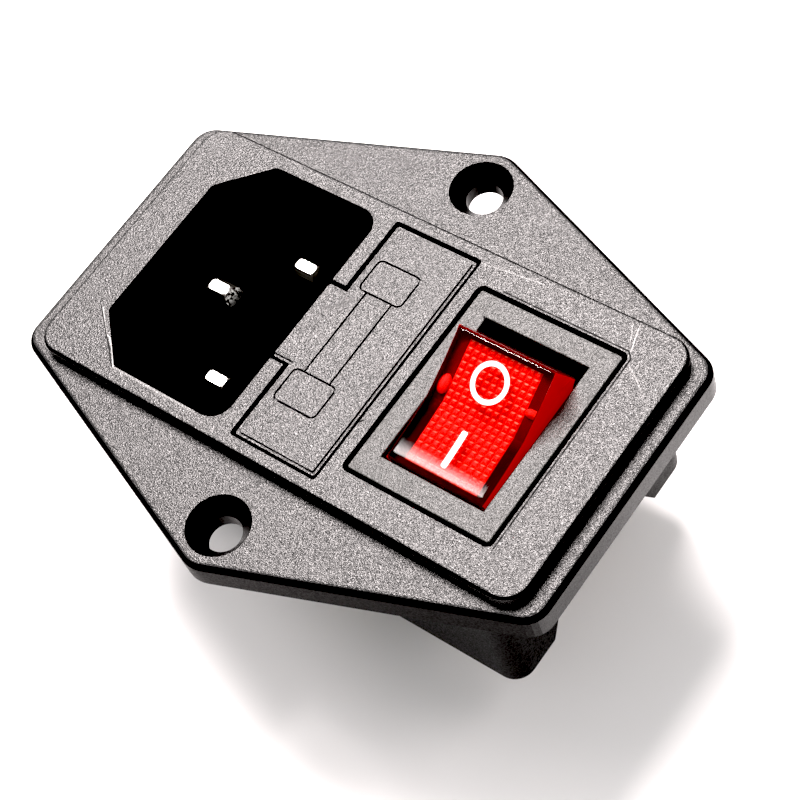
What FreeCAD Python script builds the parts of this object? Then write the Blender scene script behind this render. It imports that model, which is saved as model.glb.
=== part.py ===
import FreeCAD, Part
import math
import os
import Sketcher
from FreeCAD import Vector, Rotation, Placement

doc = FreeCAD.newDocument("power_entry_module")
sheet = doc.addObject("Spreadsheet::Sheet", "Dims")


class Q:
    """A length that keeps its number and its sheet expression side by side."""

    def __init__(self, v, e):
        self.v = float(v)
        self.e = e

    def __add__(self, o):
        o = num(o)
        return Q(self.v + o.v, "(%s + %s)" % (self.e, o.e))

    __radd__ = __add__

    def __sub__(self, o):
        o = num(o)
        return Q(self.v - o.v, "(%s - %s)" % (self.e, o.e))

    def __rsub__(self, o):
        return num(o) - self

    def __neg__(self):
        return Q(-self.v, "(0 - %s)" % self.e)

    def __mul__(self, o):
        o = num(o)
        return Q(self.v * o.v, "(%s * %s)" % (self.e, o.e))

    __rmul__ = __mul__

    def __truediv__(self, o):
        o = num(o)
        return Q(self.v / o.v, "(%s / %s)" % (self.e, o.e))


def num(x):
    if isinstance(x, Q):
        return x
    if x < 0:
        return Q(x, "(0 - %.6g)" % (-x))
    return Q(x, "%.6g" % x)


row = [0]


def dim(alias, value):
    row[0] += 1
    sheet.set("A%d" % row[0], alias)
    sheet.set("B%d" % row[0], "%.6g" % value)
    sheet.setAlias("B%d" % row[0], alias)
    return Q(value, "Dims.%s" % alias)


# ---------------------------------------------------------------- dimensions
# Frame: origin midway between the two mounting holes on the back of the
# flange, +Z out of the front, +X towards the switch, +Y towards one hole.
flange_t = dim("flange_t", 3.0)
panel_h = dim("panel_h", 1.42)
flange_x = dim("flange_x", 29.4)
flange_ye = dim("flange_ye", 13.8)
flange_ya = dim("flange_ya", 24.5)
flange_rc = dim("flange_rc", 2.4)
flange_ra = dim("flange_ra", 3.0)
flange_rt = dim("flange_rt", 0.7)
hole_y = dim("hole_y", 20.0)
hole_r = dim("hole_r", 1.75)
sink_r = dim("sink_r", 3.05)
sink_d = dim("sink_d", 1.6)
panel_x = dim("panel_x", 27.55)
panel_x0 = dim("panel_x0", 27.2)
panel_y = dim("panel_y", 14.05)
panel_rc = dim("panel_rc", 2.4)
panel_rt = dim("panel_rt", 0.35)
edge_r = dim("edge_r", 0.15)
front = flange_t + panel_h

body_x0 = dim("body_x0", -24.1)
body_x1 = dim("body_x1", 23.5)
body_y = dim("body_y", 13.65)
body_z = dim("body_z", -16.6)
body_r = dim("body_r", 2.0)

sock_x0 = dim("sock_x0", -22.72)
sock_x1 = dim("sock_x1", -5.72)
sock_y = dim("sock_y", 12.36)
sock_c = dim("sock_c", 4.5)
sock_r = dim("sock_r", 2.0)
sock_z = dim("sock_z", -13.9)

bay_x0 = dim("bay_x0", -4.0)
bay_x1 = dim("bay_x1", 5.52)
bay_y = dim("bay_y", 12.65)
bay_z = dim("bay_z", -13.0)
notch_y = dim("notch_y", 4.62)
notch_z = dim("notch_z", 0.0)

plate_z = dim("plate_z", -15.0)
plate_gap = dim("plate_gap", 0.1)
plate_x0 = dim("plate_x0", -22.9)
plate_x1 = dim("plate_x1", 5.6)
plate_y = dim("plate_y", 12.3)

sw_x = dim("sw_x", 14.79)
seat_hx = dim("seat_hx", 7.85)
seat_hy = dim("seat_hy", 10.55)
seat_z = dim("seat_z", 2.8)
hole_hx = dim("hole_hx", 6.6)
hole_hy = dim("hole_hy", 9.65)
skirt_x0 = dim("skirt_x0", 7.1)
skirt_x1 = dim("skirt_x1", 21.9)
skirt_y = dim("skirt_y", 12.05)
skirt_z = dim("skirt_z", 1.0)
gate_y = dim("gate_y", 7.0)
gate_flare = dim("gate_flare", 1.3)
gate_flare_h = dim("gate_flare_h", 2.4)
gate_z = dim("gate_z", -5.0)

pin_w = dim("pin_w", 4.0)
pin_t = dim("pin_t", 2.0)
pin_c = dim("pin_c", 0.47)
pin_x = dim("pin_x", -12.35)
pin_y = dim("pin_y", 7.0)
pin_tip = dim("pin_tip", -1.0)
earth_x = dim("earth_x", -16.42)
earth_tip = dim("earth_tip", 2.05)
slip = dim("slip", 0.03)
tab_w = dim("tab_w", 4.8)
tab_t = dim("tab_t", 0.8)
tab_tip = dim("tab_tip", -23.4)
tab_hole = dim("tab_hole", 0.7)
tab_c = dim("tab_c", 0.8)
tab_slot = dim("tab_slot", 0.05)
collar_w = dim("collar_w", 5.6)
collar_t = dim("collar_t", 3.0)
collar_h = dim("collar_h", 0.9)

fuse_x = dim("fuse_x", 0.72)
fuse_z = dim("fuse_z", -9.4)
fuse_l = dim("fuse_l", 20.0)
cap_r = dim("cap_r", 2.6)
cap_l = dim("cap_l", 5.0)
tube_r = dim("tube_r", 2.35)
tube_ri = dim("tube_ri", 1.8)
wire_r = dim("wire_r", 0.12)
clip_t = dim("clip_t", 0.4)
clip_gap = dim("clip_gap", 0.1)
clip_y0 = dim("clip_y0", 6.6)
clip_y1 = dim("clip_y1", 9.6)
clip_top = dim("clip_top", -6.0)
strip_t = dim("strip_t", 0.45)
load_tab_y = dim("load_tab_y", -8.1)

dr_gap = dim("dr_gap", 0.28)
dr_t = dim("dr_t", 1.52)
dr_step_w = dim("dr_step_w", 0.26)
dr_step_d = dim("dr_step_d", 0.2)
dr_tab_x = dim("dr_tab_x", -5.6)
dr_tab_y = dim("dr_tab_y", 4.32)
dr_tab_z = dim("dr_tab_z", 0.5)
dr_x0 = dim("dr_x0", -3.2)
dr_x1 = dim("dr_x1", 4.64)
dr_web_y = dim("dr_web_y", 4.4)
dr_web_z = dim("dr_web_z", -12.2)
tray_y = dim("tray_y", 10.9)
tray_z = dim("tray_z", -4.6)

bez_hx = dim("bez_hx", 7.54)
bez_hy = dim("bez_hy", 10.25)
bez_top = dim("bez_top", 4.36)
bez_r = dim("bez_r", 0.3)
case_hx = dim("case_hx", 6.4)
case_hy = dim("case_hy", 9.45)
case_z = dim("case_z", -10.6)
case_fl = dim("case_fl", 1.4)
open_hx = dim("open_hx", 5.4)
open_hy = dim("open_hy", 7.9)
wing_hx = dim("wing_hx", 2.8)
wing_y = dim("wing_y", 10.5)
wing_z0 = dim("wing_z0", -4.4)
wing_z1 = dim("wing_z1", 0.85)
sw_tip = dim("sw_tip", -19.4)

piv_z = dim("piv_z", 1.35)
piv_r = dim("piv_r", 1.2)
piv_c = dim("piv_c", 0.05)
rk_tilt = dim("rk_tilt", 17.5)
rk_hx = dim("rk_hx", 5.1)
rk_y = dim("rk_y", 6.42)
rk_zt = dim("rk_zt", 5.36)
rk_zm = dim("rk_zm", 4.3)
rk_yb = dim("rk_yb", 7.12)
rk_zb = dim("rk_zb", 0.9)
rk_wall = dim("rk_wall", 1.2)
rk_bev = dim("rk_bev", 0.3)
hub_r = dim("hub_r", 2.1)
hub_z = dim("hub_z", -3.4)
bore_r = dim("bore_r", 1.35)
bore_z = dim("bore_z", 2.2)
plg_r = dim("plg_r", 1.29)
plg_tip = dim("plg_tip", -5.2)
plg_top = dim("plg_top", -1.2)
plg_nose = dim("plg_nose", 0.9)
spr_wire = dim("spr_wire", 0.13)
spr_r = dim("spr_r", 0.98)

lev_z = dim("lev_z", -4.44)
lev_tilt = dim("lev_tilt", -9.0)
lev_y = dim("lev_y", 6.2)
lev_rise = dim("lev_rise", 0.87)
lev_t = dim("lev_t", 0.5)
lev_hx = dim("lev_hx", 2.0)
bead_r = dim("bead_r", 0.35)
con_y = dim("con_y", 5.2)
con_r = dim("con_r", 1.1)
con_h = dim("con_h", 0.5)
con_shank = dim("con_shank", 0.5)
fix_top = dim("fix_top", -5.28)
fix_h = dim("fix_h", 0.6)

lamp_y = dim("lamp_y", 3.85)
lamp_z = dim("lamp_z", 1.95)
lamp_r = dim("lamp_r", 1.45)
lamp_hl = dim("lamp_hl", 3.4)
res_r = dim("res_r", 1.0)
res_hl = dim("res_hl", 2.4)
lead_r = dim("lead_r", 0.18)
lead_x = dim("lead_x", 3.66)
doc.recompute()


# ------------------------------------------------------------------- helpers
def bind(o, prop, q):
    o.setExpression(prop, num(q).e)


def box(name, x0, x1, y0, y1, z0, z1):
    o = doc.addObject("Part::Box", name)
    x0, x1, y0, y1, z0, z1 = [num(a) for a in (x0, x1, y0, y1, z0, z1)]
    bind(o, "Length", x1 - x0)
    bind(o, "Width", y1 - y0)
    bind(o, "Height", z1 - z0)
    bind(o, "Placement.Base.x", x0)
    bind(o, "Placement.Base.y", y0)
    bind(o, "Placement.Base.z", z0)
    return o


def cbox(name, cx, hx, cy, hy, z0, z1):
    return box(name, cx - hx, cx + hx, cy - hy, cy + hy, z0, z1)


TURN = {"x": Rotation(Vector(0, 1, 0), 90),
        "y": Rotation(Vector(1, 0, 0), -90),
        "z": Rotation()}


def cyl(name, axis, cx, cy, cz, r, length):
    """Cylinder from the point given, running towards + along the axis."""
    o = doc.addObject("Part::Cylinder", name)
    o.Placement = Placement(Vector(0, 0, 0), TURN[axis])
    bind(o, "Radius", r)
    bind(o, "Height", length)
    bind(o, "Placement.Base.x", cx)
    bind(o, "Placement.Base.y", cy)
    bind(o, "Placement.Base.z", cz)
    return o


def ball(name, cx, cy, cz, r):
    o = doc.addObject("Part::Sphere", name)
    bind(o, "Radius", r)
    bind(o, "Placement.Base.x", cx)
    bind(o, "Placement.Base.y", cy)
    bind(o, "Placement.Base.z", cz)
    return o


def join(name, *objs):
    o = doc.addObject("Part::MultiFuse", name)
    o.Shapes = list(objs)
    o.Refine = True
    return o


def take(name, base, *tools):
    tool = tools[0] if len(tools) == 1 else join(name + "_tools", *tools)
    o = doc.addObject("Part::Cut", name)
    o.Base = base
    o.Tool = tool
    o.Refine = True
    return o


def group(name, *objs):
    o = doc.addObject("Part::Compound", name)
    o.Links = list(objs)
    return o


def plane(body, role):
    for f in body.Origin.OriginFeatures:
        if f.Role == role:
            return f
    raise RuntimeError("no plane " + role)


def sketch(body, name, role, pts, off=None):
    """Closed polygon on one of the body's own planes, every corner bound."""
    sk = body.newObject("Sketcher::SketchObject", name)
    sk.AttachmentSupport = [(plane(body, role), "")]
    sk.MapMode = "FlatFace"
    if off is not None:
        bind(sk, "AttachmentOffset.Base.z", off)
    pts = [(num(a), num(b)) for a, b in pts]
    n = len(pts)
    for i in range(n):
        a, b = pts[i], pts[(i + 1) % n]
        sk.addGeometry(Part.LineSegment(Vector(a[0].v, a[1].v, 0),
                                        Vector(b[0].v, b[1].v, 0)), False)
    for i in range(n):
        sk.addConstraint(Sketcher.Constraint("Coincident", i, 2, (i + 1) % n, 1))
    for i in range(n):
        for axis, kind in ((0, "DistanceX"), (1, "DistanceY")):
            k = sk.addConstraint(
                Sketcher.Constraint(kind, -1, 1, i, 1, pts[i][axis].v))
            sk.setExpression("Constraints[%d]" % k, pts[i][axis].e)
    return sk


def circle(body, name, role, cx, cy, r, off=None):
    sk = body.newObject("Sketcher::SketchObject", name)
    sk.AttachmentSupport = [(plane(body, role), "")]
    sk.MapMode = "FlatFace"
    if off is not None:
        bind(sk, "AttachmentOffset.Base.z", off)
    cx, cy, r = num(cx), num(cy), num(r)
    sk.addGeometry(Part.Circle(Vector(cx.v, cy.v, 0), Vector(0, 0, 1), r.v), False)
    k = sk.addConstraint(Sketcher.Constraint("Radius", 0, r.v))
    sk.setExpression("Constraints[%d]" % k, r.e)
    k = sk.addConstraint(Sketcher.Constraint("DistanceX", -1, 1, 0, 3, cx.v))
    sk.setExpression("Constraints[%d]" % k, cx.e)
    k = sk.addConstraint(Sketcher.Constraint("DistanceY", -1, 1, 0, 3, cy.v))
    sk.setExpression("Constraints[%d]" % k, cy.e)
    return sk


def pad(body, name, sk, length, down=False, mid=False):
    o = body.newObject("PartDesign::Pad", name)
    o.Profile = sk
    bind(o, "Length", length)
    o.Reversed = down
    if mid:
        o.SideType = "Symmetric"
    doc.recompute()
    return o


def pocket(body, name, sk, length, up=False, mid=False):
    before = body.Shape.Volume
    o = body.newObject("PartDesign::Pocket", name)
    o.Profile = sk
    bind(o, "Length", length)
    o.Reversed = up
    if mid:
        o.SideType = "Symmetric"
    doc.recompute()
    if not body.Shape.Volume < before - 1e-6:
        raise RuntimeError("pocket takes nothing: " + name)
    return o


def edges(shape, test):
    out = []
    for i, e in enumerate(shape.Edges):
        b = e.BoundBox
        if test(b):
            out.append("Edge%d" % (i + 1))
    return out


def soften(body, name, base, test, size, kind="Fillet"):
    names = edges(base.Shape, test)
    if not names:
        raise RuntimeError("no edges for " + name)
    o = body.newObject("PartDesign::" + kind, name)
    o.Base = (base, names)
    bind(o, "Radius" if kind == "Fillet" else "Size", size)
    doc.recompute()
    return o


def near(a, b, tol=0.02):
    return abs(a - b) < tol


def upright(b):
    return b.XLength < 0.01 and b.YLength < 0.01 and b.ZLength > 0.05


def rect(x0, x1, y0, y1):
    return [(x0, y0), (x1, y0), (x1, y1), (x0, y1)]


PARTS = []


def part(o, label):
    o.Label = label
    PARTS.append((label, o))
    return o


# ------------------------------------------------------------------- housing
hb = doc.addObject("PartDesign::Body", "HousingBody")
s = sketch(hb, "panel_outline", "XY_Plane",
           rect(-panel_x0, panel_x, -panel_y, panel_y))
f = pad(hb, "panel_pad", s, front)
f = soften(hb, "panel_corners", f, upright, panel_rc)
f = soften(hb, "panel_rim", f,
           lambda b: near(b.ZMin, front.v) and near(b.ZMax, front.v), panel_rt)
s = sketch(hb, "flange_outline", "XY_Plane",
           [(flange_x, -flange_ye), (flange_x, flange_ye), (num(0), flange_ya),
            (-flange_x, flange_ye), (-flange_x, -flange_ye), (num(0), -flange_ya)])
f = pad(hb, "flange_pad", s, flange_t)
f = soften(hb, "flange_corners", f,
           lambda b: upright(b) and abs(b.XMin) > 29, flange_rc)
f = soften(hb, "flange_apexes", f,
           lambda b: upright(b) and abs(b.XMin) < 0.1 and abs(b.YMin) > 23, flange_ra)
f = soften(hb, "flange_rim", f,
           lambda b: near(b.ZMin, flange_t.v) and near(b.ZMax, flange_t.v)
           and (max(abs(b.XMin), abs(b.XMax)) > panel_x.v + 0.1
                or max(abs(b.YMin), abs(b.YMax)) > panel_y.v + 0.1), flange_rt)
s = sketch(hb, "rear_outline", "XY_Plane", rect(body_x0, body_x1, -body_y, body_y), num(0.5))
f = pad(hb, "rear_pad", s, 0.5 - body_z, down=True)
f = soften(hb, "rear_corners", f,
           lambda b: upright(b) and b.ZMin < -10 and abs(b.YMin) > 13, body_r)
s = sketch(hb, "socket_outline", "XY_Plane",
           [(sock_x1, -sock_y), (sock_x1, sock_y), (sock_x0 + sock_c, sock_y),
            (sock_x0, sock_y - sock_c), (sock_x0, -sock_y + sock_c),
            (sock_x0 + sock_c, -sock_y)], front)
f = pocket(hb, "socket_pocket", s, front - sock_z)
f = soften(hb, "socket_slant_corners", f,
           lambda b: upright(b) and
           ((near(b.XMin, sock_x0.v) and near(abs(b.YMin), sock_y.v - sock_c.v))
            or (near(b.XMin, sock_x0.v + sock_c.v) and near(abs(b.YMin), sock_y.v))), num(0.6))
f = soften(hb, "socket_corners", f,
           lambda b: upright(b) and near(b.XMin, sock_x1.v)
           and near(abs(b.YMin), sock_y.v), sock_r)
s = sketch(hb, "bay_outline", "XY_Plane", rect(bay_x0, bay_x1, -bay_y, bay_y), front)
f = pocket(hb, "bay_pocket", s, front - bay_z)
f = soften(hb, "bay_corners", f,
           lambda b: upright(b) and (near(b.XMin, bay_x0.v) or near(b.XMin, bay_x1.v))
           and near(abs(b.YMin), bay_y.v), num(0.25))
s = sketch(hb, "notch_outline", "XY_Plane",
           rect(sock_x1 - 0.4, bay_x0 + 0.4, -notch_y, notch_y), front)
f = pocket(hb, "notch_pocket", s, front - notch_z)
s = sketch(hb, "seat_outline", "XY_Plane",
           rect(sw_x - seat_hx, sw_x + seat_hx, -seat_hy, seat_hy), front)
f = pocket(hb, "seat_pocket", s, front - seat_z)
f = soften(hb, "seat_corners", f,
           lambda b: upright(b) and near(abs(b.XMin - sw_x.v), seat_hx.v)
           and near(abs(b.YMin), seat_hy.v), num(0.6))
s = sketch(hb, "switch_hole", "XY_Plane",
           rect(sw_x - hole_hx, sw_x + hole_hx, -hole_hy, hole_hy), front)
f = pocket(hb, "switch_hole_pocket", s, front - skirt_z + 0.2)
s = sketch(hb, "skirt_room", "XY_Plane",
           rect(skirt_x0, skirt_x1, -skirt_y, skirt_y), body_z)
f = pocket(hb, "skirt_room_pocket", s, skirt_z - body_z, up=True)
s = sketch(hb, "gate_outline", "YZ_Plane",
           [(gate_y + gate_flare, body_z - 0.2), (gate_y + gate_flare, body_z),
            (gate_y, body_z + gate_flare_h), (gate_y, gate_z), (-gate_y, gate_z),
            (-gate_y, body_z + gate_flare_h), (-gate_y - gate_flare, body_z),
            (-gate_y - gate_flare, body_z - 0.2)], body_x1 + 0.5)
f = pocket(hb, "gate_pocket", s, body_x1 - skirt_x1 + 1.0)
f = soften(hb, "gate_corners", f,
           lambda b: b.YLength < 0.01 and b.ZLength < 0.01 and b.XMin > 21
           and near(b.ZMin, gate_z.v), num(2.0))
s = sketch(hb, "plate_recess", "XY_Plane",
           rect(plate_x0, plate_x1, -plate_y, plate_y), body_z)
f = pocket(hb, "plate_recess_pocket", s, plate_z - body_z, up=True)


def slot(name, cx, w, cy, t, z0, z1):
    """Rectangular way through the wall from z0 up to z1."""
    s = sketch(hb, name, "XY_Plane",
               rect(cx - w / 2, cx + w / 2, cy - t / 2, cy + t / 2), z0)
    return pocket(hb, name + "_pocket", s, z1 - z0, up=True)


slot("line_slot", pin_x, pin_w + slip * 2, pin_y, pin_t + slip * 2, plate_z - 0.1, sock_z + 0.1)
slot("neutral_slot", pin_x, pin_w + slip * 2, -pin_y, pin_t + slip * 2, plate_z - 0.1, sock_z + 0.1)
slot("earth_slot", earth_x, pin_w + slip * 2, num(0), pin_t + slip * 2, plate_z - 0.1, sock_z + 0.1)
arm_x = fuse_x - cap_r - clip_gap - clip_t
clip_yc = (clip_y0 + clip_y1) / 2
slot("clip_slot", arm_x + clip_t / 2, clip_t + slip * 2, clip_yc,
     clip_y1 - clip_y0 + slip * 2, plate_z - 0.1, bay_z + 0.1)
slot("load_slot", fuse_x, tab_w + slip * 2, load_tab_y, tab_t + slip * 2,
     plate_z - 0.1, bay_z + 0.1)
for k, sg in (("a", 1), ("b", -1)):
    s = circle(hb, "screw_hole_" + k, "XY_Plane", num(0), hole_y * sg, hole_r, flange_t + 0.5)
    f = pocket(hb, "screw_hole_pocket_" + k, s, flange_t + 1.0)
    rim = edges(f.Shape, lambda b: near(b.ZMin, flange_t.v) and near(b.ZMax, flange_t.v)
                and near(b.XLength, 2 * hole_r.v) and b.YMin * sg > 10)
    c = hb.newObject("PartDesign::Chamfer", "countersink_" + k)
    c.Base = (f, rim)
    c.ChamferType = "Two distances"
    bind(c, "Size", sink_r - hole_r)
    bind(c, "Size2", sink_d)
    doc.recompute()
    top = edges(c.Shape, lambda b: near(b.ZMin, flange_t.v) and near(b.ZMax, flange_t.v)
                and near(b.XLength, 2 * sink_r.v) and b.YMin * sg > 10)
    if not top:
        c.FlipDirection = True
        doc.recompute()
    f = c
f = soften(hb, "opening_edges", f,
           lambda b: near(b.ZMin, front.v) and near(b.ZMax, front.v)
           and b.XMin > -23.5 and b.XMax < 23.5 and max(-b.YMin, b.YMax) < 13.2, edge_r)
part(hb, "housing")

# ---------------------------------------------------------------- rear plate
g = plate_gap
p0 = box("plate_blank", plate_x0 + g, plate_x1 - g, -plate_y + g, plate_y - g,
         body_z, plate_z - 0.02)


def tab_cut(name, cx, cy, z0=None, z1=None):
    return cbox(name, cx, tab_w / 2 + tab_slot, cy, tab_t / 2 + tab_slot,
                body_z - 0.5, plate_z + 0.5)


def collar_cut(name, cx, cy):
    return cbox(name, cx, collar_w / 2 + tab_slot, cy, collar_t / 2 + tab_slot,
                plate_z - 0.04 - collar_h, plate_z + 0.5)


strip_y0 = num(5.2)
strip_top = plate_z - 0.02
strip_bot = strip_top - strip_t
plate = take("PlateCut", p0,
             tab_cut("pc_n", pin_x, -pin_y), tab_cut("pc_e", earth_x, num(0)),
             tab_cut("pc_l", fuse_x, load_tab_y),
             collar_cut("pc_nc", pin_x, -pin_y), collar_cut("pc_ec", earth_x, num(0)),
             box("pc_strip", pin_x - 2.7, arm_x + clip_t + 0.1, strip_y0 - 0.1,
                 clip_y1 + 0.1, strip_bot - 0.55, plate_z + 0.5))
part(plate, "rear_plate")


# ---------------------------------------------------------------------- pins
def blade(name, cx, cy, tip, bottom):
    b = doc.addObject("PartDesign::Body", name)
    s = sketch(b, name + "_section", "XY_Plane",
               rect(cx - pin_w / 2, cx + pin_w / 2, cy - pin_t / 2, cy + pin_t / 2), bottom)
    f = pad(b, name + "_pad", s, tip - bottom)
    f = soften(b, name + "_nose_sides", f,
               lambda q: near(q.ZMin, tip.v) and near(q.ZMax, tip.v) and q.YLength < 0.01,
               pin_c, "Chamfer")
    f = soften(b, name + "_nose_ends", f,
               lambda q: near(q.ZMin, tip.v) and near(q.ZMax, tip.v) and q.XLength < 0.01,
               pin_c * 2, "Chamfer")
    f = soften(b, name + "_sides", f,
               lambda q: q.XLength < 0.01 and q.YLength < 0.01 and q.ZLength > 5,
               num(0.3))
    return b


def tab(name, cx, cy, top, tip):
    """Flat tab with a tapered end and a round hole, wide along X."""
    b = doc.addObject("PartDesign::Body", name)
    w = tab_w / 2
    s = sketch(b, name + "_outline", "XZ_Plane",
               [(cx - w, top), (cx - w, tip + tab_c), (cx - w + tab_c * 0.6, tip),
                (cx + w - tab_c * 0.6, tip), (cx + w, tip + tab_c), (cx + w, top)],
               -cy)
    f = pad(b, name + "_pad", s, tab_t, mid=True)
    s = circle(b, name + "_eye", "XZ_Plane", cx, tip + 3.2, tab_hole, -cy)
    f = pocket(b, name + "_eye_pocket", s, tab_t * 2, mid=True)
    return b


collar_top = plate_z - 0.02


def through_pin(name, cx, cy, tip):
    return join(name, blade(name + "_blade", cx, cy, tip, collar_top - 0.2),
                cbox(name + "_collar", cx, collar_w / 2, cy, collar_t / 2,
                     collar_top - collar_h, collar_top),
                tab(name + "_tab", cx, cy, collar_top - collar_h + 0.2, tab_tip))


part(through_pin("NeutralPin", pin_x, -pin_y, pin_tip), "neutral_pin")
part(through_pin("EarthPin", earth_x, num(0), earth_tip), "earth_pin")
stub_hw = num(1.2)
stub_ht = num(0.6)
part(join("LinePin", blade("LinePin_blade", pin_x, pin_y, pin_tip, collar_top),
          cbox("LinePin_stub", pin_x, stub_hw, pin_y, stub_ht, strip_bot - 0.35,
               collar_top + 0.2)), "line_pin")

# ---------------------------------------------------------------- fuse clips
arm2_x = fuse_x + cap_r + clip_gap
base_z0 = bay_z + 0.05


def clip(name, y0, y1, low):
    left = box(name + "_left", arm_x, arm_x + clip_t, y0, y1, low, clip_top)
    base = box(name + "_base", arm_x, arm2_x + clip_t, y0, y1, base_z0, base_z0 + clip_t)
    right = box(name + "_right", arm2_x, arm2_x + clip_t, y0, y1, base_z0, clip_top)
    return [left, base, right]


pieces = clip("LineClip", clip_y0, clip_y1, strip_bot)
pieces.append(box("LineClip_strip", pin_x - 2.6, arm_x + clip_t, strip_y0, clip_y1,
                  strip_bot, strip_top))
lc = take("LineClipCut", join("LineClipJoin", *pieces),
          cbox("LineClip_eye", pin_x, stub_hw + slip, pin_y, stub_ht + slip,
               strip_bot - 0.5, strip_top + 0.5))
part(lc, "line_fuse_clip")
pieces = clip("LoadClip", -clip_y1, -clip_y0, base_z0)
pieces.append(tab("LoadClip_tab", fuse_x, load_tab_y, base_z0 + 0.3, tab_tip))
part(join("LoadClipJoin", *pieces), "load_fuse_clip")

# ---------------------------------------------------------------------- fuse
hl = fuse_l / 2
tube = take("FuseTube", cyl("ft_o", "y", fuse_x, -hl + 0.42, fuse_z, tube_r, fuse_l - 0.84),
            cyl("ft_i", "y", fuse_x, -hl, fuse_z, tube_ri, fuse_l))
part(tube, "fuse_tube")
caps = []
for k, sg in (("a", 1), ("b", -1)):
    y0 = hl - cap_l if sg > 0 else -hl
    yi = hl - cap_l - 0.1 if sg > 0 else -hl + 0.4
    caps.append(take("FuseCap_" + k, cyl("fc_o" + k, "y", fuse_x, y0, fuse_z, cap_r, cap_l),
                     cyl("fc_i" + k, "y", fuse_x, yi, fuse_z, tube_r + 0.01, cap_l - 0.3)))
part(group("FuseCaps", *caps), "fuse_caps")
part(cyl("FuseWire", "y", fuse_x, -hl + 0.42, fuse_z, wire_r, fuse_l - 0.84), "fuse_wire")

# -------------------------------------------------------------------- drawer
fx0 = bay_x0 + dr_gap
fx1 = bay_x1 - dr_gap
fy = bay_y - dr_gap
db = doc.addObject("PartDesign::Body", "DrawerBody")
w = dr_step_w
s = sketch(db, "drawer_ledge", "XY_Plane",
           [(fx1, -fy), (fx1, fy), (fx0, fy), (fx0, dr_tab_y), (dr_tab_x, dr_tab_y),
            (dr_tab_x, -dr_tab_y), (fx0, -dr_tab_y), (fx0, -fy)], front - dr_step_d)
f = pad(db, "drawer_ledge_pad", s, dr_t - dr_step_d, down=True)
f = soften(db, "drawer_ledge_corners", f,
           lambda b: upright(b) and abs(b.YMin) > 12, num(0.25))
s = sketch(db, "drawer_face", "XY_Plane",
           [(fx1 - w, -fy + w), (fx1 - w, fy - w), (fx0 + w, fy - w), (fx0 + w, dr_tab_y - w),
            (dr_tab_x, dr_tab_y - w), (dr_tab_x, -dr_tab_y + w), (fx0 + w, -dr_tab_y + w),
            (fx0 + w, -fy + w)], front)
f = pad(db, "drawer_face_pad", s, dr_step_d + 0.1, down=True)
f = soften(db, "drawer_face_corners", f,
           lambda b: upright(b) and abs(b.YMin) > 12 and b.ZMax > front.v - 0.05, num(0.2))
f = soften(db, "drawer_face_edges", f,
           lambda b: near(b.ZMin, front.v) and near(b.ZMax, front.v), num(0.04))
s = sketch(db, "drawer_grip", "XY_Plane",
           rect(dr_tab_x, dr_tab_x + 1.2, -dr_tab_y, dr_tab_y), front - dr_t + 0.1)
f = pad(db, "drawer_grip_pad", s, front - dr_t + 0.1 - dr_tab_z, down=True)
s = sketch(db, "drawer_tray", "XY_Plane", rect(dr_x0, dr_x1, -tray_y, tray_y),
           front - dr_t + 0.1)
f = pad(db, "drawer_tray_pad", s, front - dr_t + 0.1 - tray_z, down=True)
s = sketch(db, "drawer_web", "XY_Plane", rect(dr_x0, dr_x1, -dr_web_y, dr_web_y),
           tray_z + 0.1)
f = pad(db, "drawer_web_pad", s, tray_z + 0.1 - dr_web_z, down=True)
for k, sg in (("a", 1), ("b", -1)):
    y0, y1 = (tray_y - 0.1, fy) if sg > 0 else (-fy, -tray_y + 0.1)
    s = sketch(db, "drawer_guide_" + k, "XY_Plane", rect(num(-1.0), num(2.5), y0, y1),
               front - dr_t + 0.1)
    f = pad(db, "drawer_guide_pad_" + k, s, front - dr_t + 6.1, down=True)
s = sketch(db, "spare_pocket", "YZ_Plane",
           rect(num(-10.2), num(10.2), tray_z + 1.0, front - dr_t - 1.0), dr_x1 - 1.2)
f = pocket(db, "spare_pocket_cut", s, dr_x1 - dr_x0)
cr = tube_r + 0.05
s = circle(db, "fuse_seat", "XZ_Plane", fuse_x, fuse_z, cr)
f = pocket(db, "fuse_seat_cut", s, dr_web_y * 2 + 1, mid=True)
s = sketch(db, "fuse_mouth", "XZ_Plane",
           rect(fuse_x - cr, fuse_x + cr, dr_web_z - 0.5, fuse_z))
f = pocket(db, "fuse_mouth_cut", s, dr_web_y * 2 + 1, mid=True)
# Moulded fuse symbol: two squares joined by two lines, cut into the face.
line_w = dim("line_w", 0.2)
line_d = dim("line_d", 0.45)
doc.recompute()
mark_r = dim("mark_r", 0.65)
doc.recompute()


def ring(name, x0, x1, y0, y1):
    """Rounded square groove, as a body that is taken out of the face."""
    b = doc.addObject("PartDesign::Body", name)
    s = sketch(b, name + "_outer", "XY_Plane", rect(x0, x1, y0, y1), front + 0.2)
    f = pad(b, name + "_pad", s, line_d + 0.2, down=True)
    f = soften(b, name + "_outer_corners", f, upright, mark_r)
    x0, x1, y0, y1 = x0 + line_w, x1 - line_w, y0 + line_w, y1 - line_w
    s = sketch(b, name + "_inner", "XY_Plane", rect(x0, x1, y0, y1), front + 0.2)
    f = pocket(b, name + "_cut", s, line_d + 0.4)
    soften(b, name + "_inner_corners", f,
           lambda q: upright(q) and (near(q.XMin, x0.v) or near(q.XMin, x1.v))
           and (near(q.YMin, y0.v) or near(q.YMin, y1.v)), mark_r - line_w)
    return b


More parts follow.
